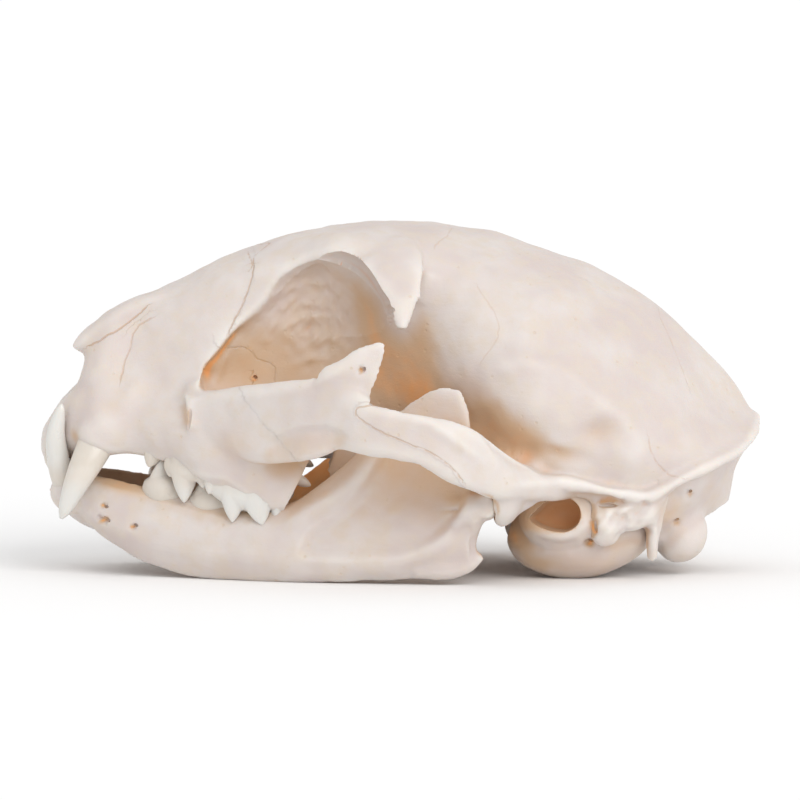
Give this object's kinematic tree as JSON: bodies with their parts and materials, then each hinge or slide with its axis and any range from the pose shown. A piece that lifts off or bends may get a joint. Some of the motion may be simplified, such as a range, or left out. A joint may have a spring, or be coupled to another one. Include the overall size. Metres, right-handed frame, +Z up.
{
  "type": "cat skull",
  "caption": "Life-size cat skull with closed lower jaw, resting on the jaw edges and the auditory bullae, a still museum-type model.",
  "frame": {"origin": "on the floor, under the middle of the skull's bounding box", "axes": "+X from the nose to the back of the head, +Y to the animal's right side, +Z up"},
  "size_m": [0.0924, 0.0663, 0.0449],
  "materials": {
    "bone": "satin"
  },
  "bodies": {
    "root": {"braincase": "bone", "face": "bone", "zygomatic_left": "bone", "zygomatic_right": "bone", "bulla_left": "bone", "bulla_right": "bone", "mandible_left": "bone", "mandible_right": "bone"}
  },
  "joints": []
}
